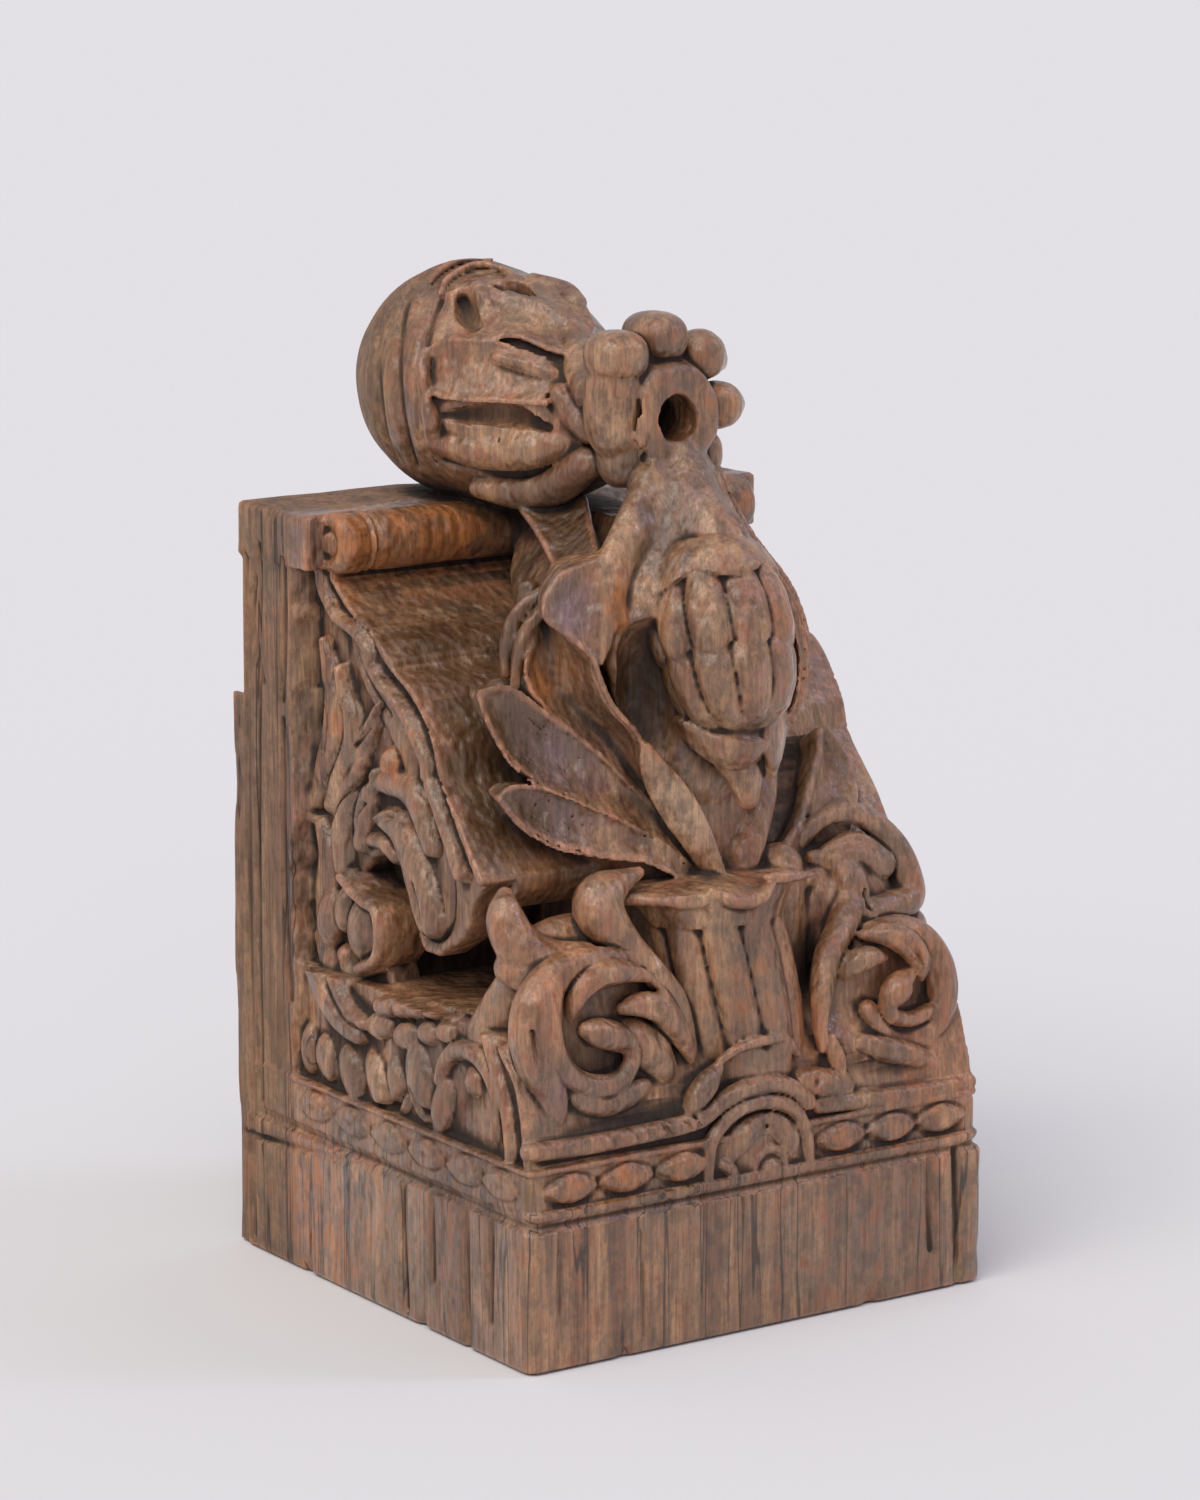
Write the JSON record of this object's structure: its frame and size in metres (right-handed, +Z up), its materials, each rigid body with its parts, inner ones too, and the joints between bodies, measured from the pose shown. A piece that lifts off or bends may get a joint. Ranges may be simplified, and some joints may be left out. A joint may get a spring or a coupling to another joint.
{
  "type": "wooden corbel bracket",
  "caption": "Carved hardwood corbel bracket: square plinth, S-shaped front with vase, bud, leaves and scrolls, and a crown bud lying on the top slab.",
  "frame": {"origin": "centre of the flat underside of the plinth, below the middle of the whole carving", "axes": "+Z up, -Y out of the carved front, +Y out of the flat back, +X to the right as seen from the front"},
  "size_m": [0.2, 0.2, 0.3677],
  "materials": {
    "carved_wood": "old weathered hardwood, hand carved, dry on the flats and polished by handling on the high points"
  },
  "bodies": {
    "root": {"corbel_bracket": "carved_wood"}
  },
  "joints": []
}
